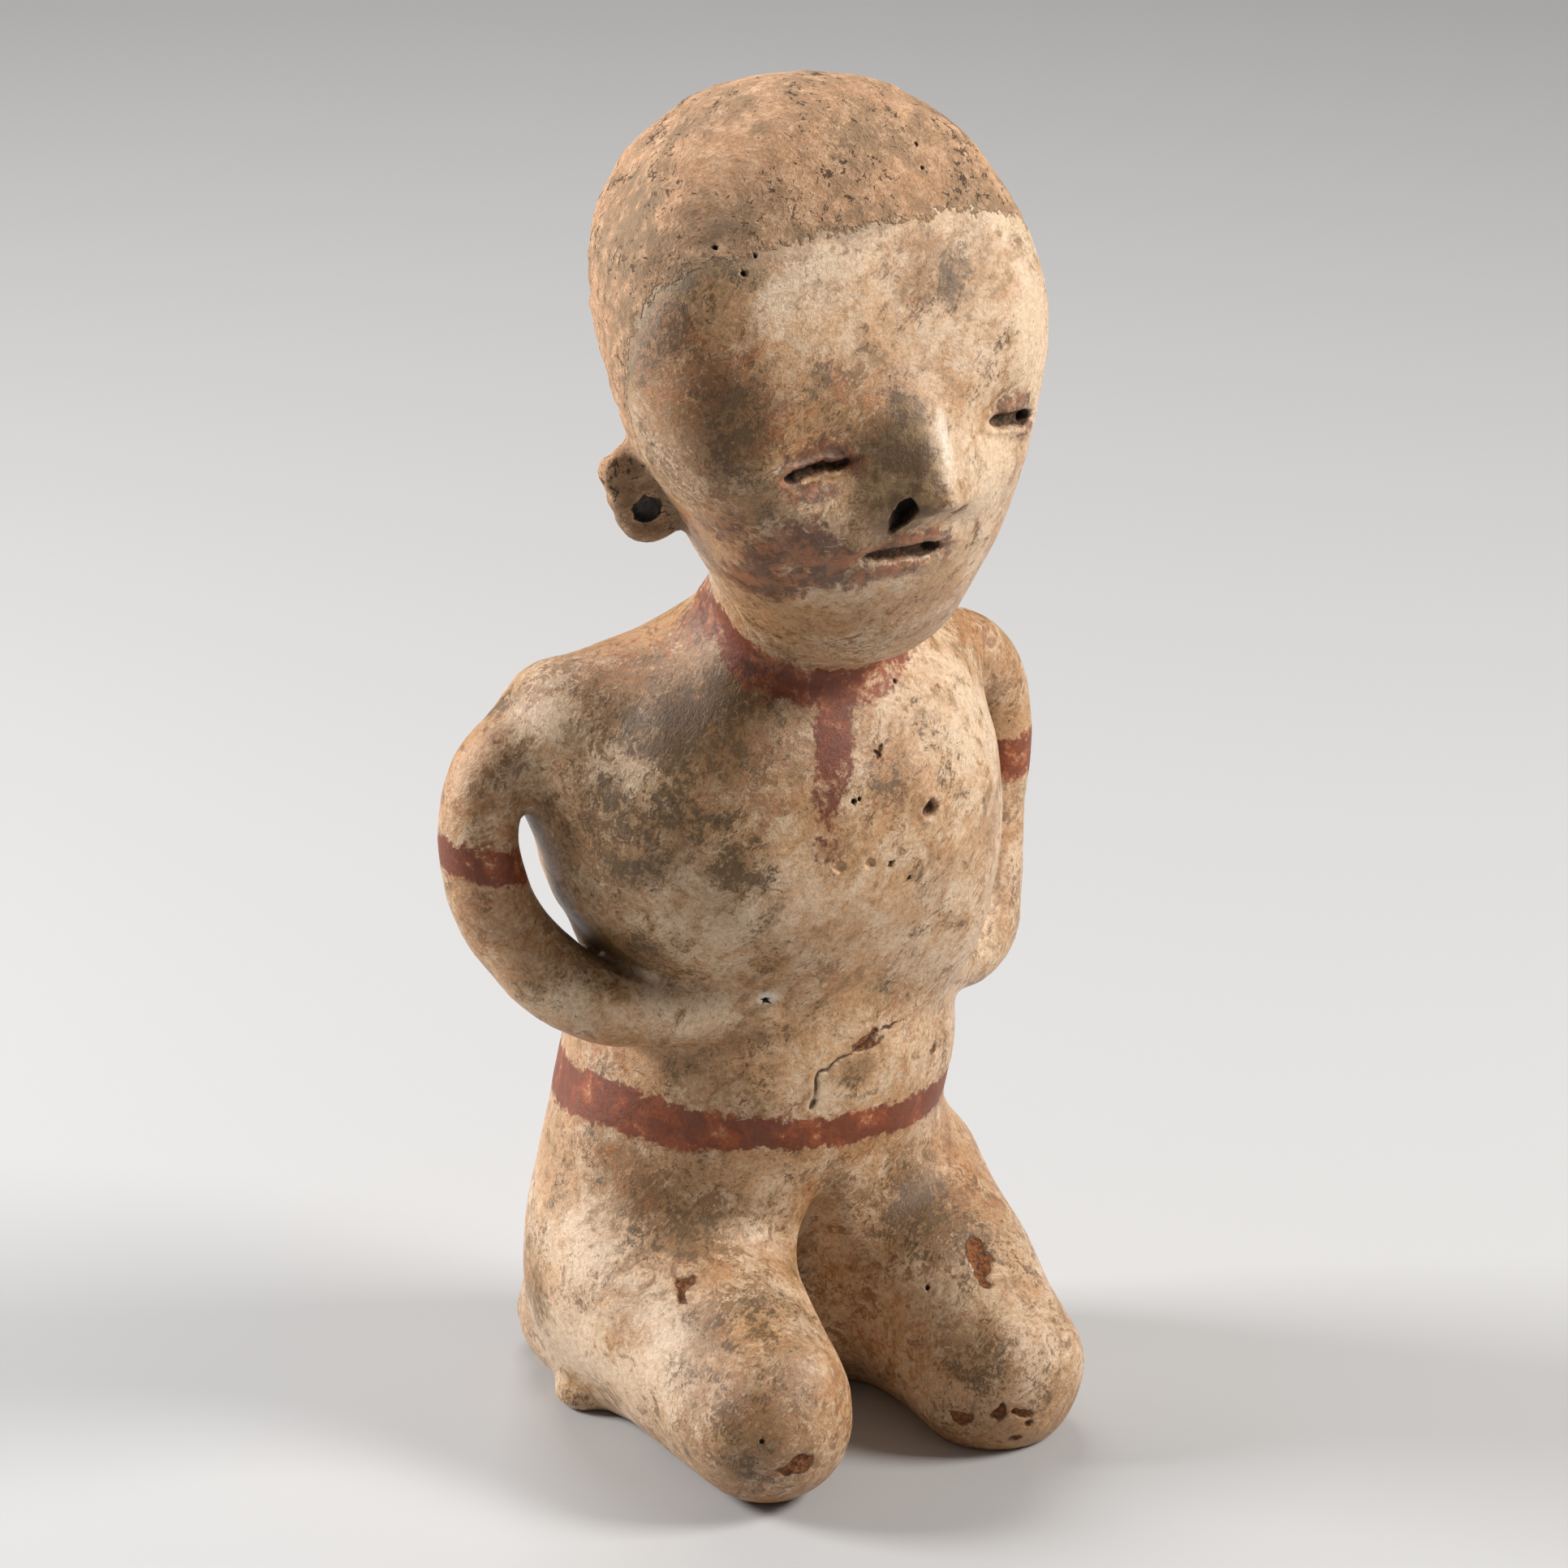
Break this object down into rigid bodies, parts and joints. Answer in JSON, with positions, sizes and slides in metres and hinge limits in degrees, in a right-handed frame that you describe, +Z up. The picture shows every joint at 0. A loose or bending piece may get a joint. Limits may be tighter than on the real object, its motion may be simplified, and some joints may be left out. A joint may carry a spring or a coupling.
{
  "type": "kneeling ceramic figure",
  "caption": "Kneeling hollow ceramic figure with a large egg-shaped head, slit eyes and mouth, pierced ear lobes and arms bent round to the belly.",
  "frame": {"origin": "middle of the underside of the box around the figure, on the surface that it kneels on", "axes": "+Z up, -Y out of the face, +X to the figure's own left"},
  "size_m": [0.1368, 0.1104, 0.2801],
  "materials": {
    "burnished_clay": "worn burnished slip, satin, with unslipped clay on the head"
  },
  "bodies": {
    "root": {"figure": "burnished_clay"}
  },
  "joints": []
}
